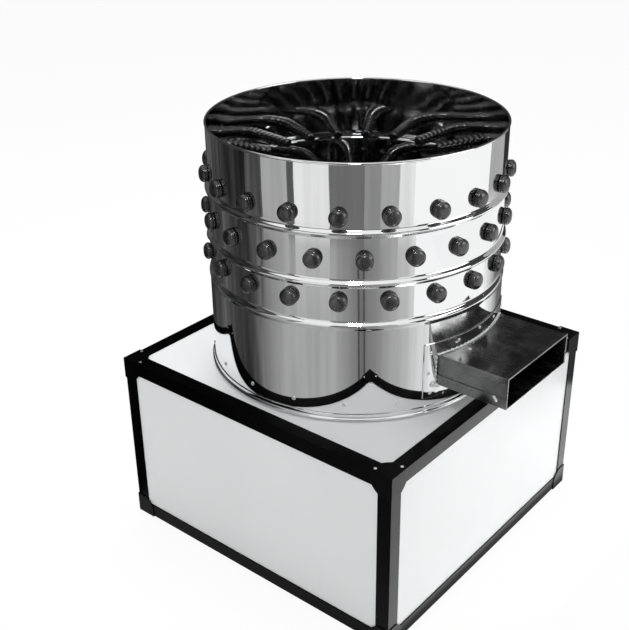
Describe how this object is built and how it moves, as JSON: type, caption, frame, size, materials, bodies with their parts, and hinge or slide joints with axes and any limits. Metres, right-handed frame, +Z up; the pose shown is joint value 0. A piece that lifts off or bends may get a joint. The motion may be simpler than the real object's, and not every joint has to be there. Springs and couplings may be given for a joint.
{
  "type": "poultry plucker",
  "caption": "Drum plucker: beaded steel drum lined with rubber fingers on a square cabinet, with a belt-driven finger plate and a side feather chute.",
  "frame": {"origin": "on the floor, under the middle of the part's box; the drum's axis is 30 mm towards -X of it", "axes": "+Z up along the drum's axis, +X out of the feather chute, -Y the panel on the picture's left, +Y the back"},
  "size_m": [0.68, 0.6, 0.7735],
  "materials": {
    "black_edging": "black painted angle",
    "black_cap": "moulded black plastic",
    "white_panel": "white painted sheet",
    "frame_paint": "grey painted steel",
    "zinc_fastener": "zinc plated",
    "cast_housing": "machined cast iron",
    "bearing_steel": "ground steel",
    "polished_stainless": "bright polished stainless sheet",
    "chute_stainless": "mill finished stainless sheet",
    "finger_rubber": "moulded black rubber",
    "black_rubber": "black rubber",
    "motor_paint": "blue grey paint on a finned casting",
    "cover_paint": "dark painted sheet",
    "black_plastic": "moulded black plastic",
    "green_plastic": "green moulded plastic",
    "red_plastic": "red moulded plastic"
  },
  "bodies": {
    "cabinet": {"top_frame": "black_edging", "bottom_frame": "black_edging", "corner_posts": "black_edging", "top_corner_caps": "black_cap", "bottom_corner_caps": "black_cap", "top_panel": "white_panel", "front_panel": "white_panel", "back_panel": "white_panel", "left_panel": "white_panel", "right_panel": "white_panel", "floor_panel": "white_panel", "front_cross_rail": "frame_paint", "rear_cross_rail": "frame_paint", "carrier_plate": "frame_paint", "rail_bolts": "zinc_fastener", "spindle_housing": "cast_housing", "upper_bearing": "bearing_steel", "lower_bearing": "bearing_steel", "spindle_bolts": "zinc_fastener", "drum_shell": "polished_stainless", "bottom_row_shell": "polished_stainless", "middle_row_shell": "polished_stainless", "top_row_shell": "polished_stainless", "drum_base_ring": "polished_stainless", "drum_floor": "polished_stainless", "floor_neck": "polished_stainless", "shaft_seal": "black_rubber", "top_wall_fingers": "finger_rubber", "middle_wall_fingers": "finger_rubber", "bottom_wall_fingers": "finger_rubber", "chute_hood": "chute_stainless", "chute_tray": "chute_stainless", "chute_collar": "chute_stainless", "motor_bracket": "frame_paint", "motor_housing": "motor_paint", "motor_end_bells": "motor_paint", "motor_fan_cover": "cover_paint", "motor_terminal_box": "black_plastic", "motor_bolts": "zinc_fastener", "v_belt": "black_rubber", "switch_housing": "black_plastic", "cable_gland": "black_plastic"},
    "plucking_plate": {"feather_plate": "chute_stainless", "outer_plate_fingers": "finger_rubber", "middle_plate_fingers": "finger_rubber", "inner_plate_fingers": "finger_rubber", "feather_sweepers": "chute_stainless", "plate_hub": "cast_housing", "hub_bolts": "zinc_fastener", "hub_cap": "polished_stainless", "hub_cap_bolt": "zinc_fastener", "drive_shaft": "bearing_steel", "driven_pulley": "cast_housing"},
    "motor_rotor": {"motor_shaft": "bearing_steel", "motor_pulley": "cast_housing", "motor_fan": "black_plastic"},
    "start_button": {"start_button": "green_plastic"},
    "stop_button": {"stop_button": "red_plastic"}
  },
  "joints": [
    {"name": "plate_spin", "type": "hinge", "parent": "cabinet", "child": "plucking_plate", "pos_m": [-0.03, 0, 0.4], "axis": [0, 0, 1], "continuous": true},
    {"name": "motor_spin", "type": "hinge", "parent": "cabinet", "child": "motor_rotor", "pos_m": [-0.235, 0, 0.15], "axis": [0, 0, 1], "continuous": true},
    {"name": "start_button_press", "type": "slide", "parent": "cabinet", "child": "start_button", "axis": [1, 0, 0], "range_m": [0, 0.0025], "stiffness_N_per_m": 800, "springref_m": -0.002},
    {"name": "stop_button_press", "type": "slide", "parent": "cabinet", "child": "stop_button", "axis": [1, 0, 0], "range_m": [0, 0.0025], "stiffness_N_per_m": 800, "springref_m": -0.002}
  ],
  "couplings": [
    {"joint": "motor_spin", "follows": "plate_spin", "ratio": 5}
  ]
}
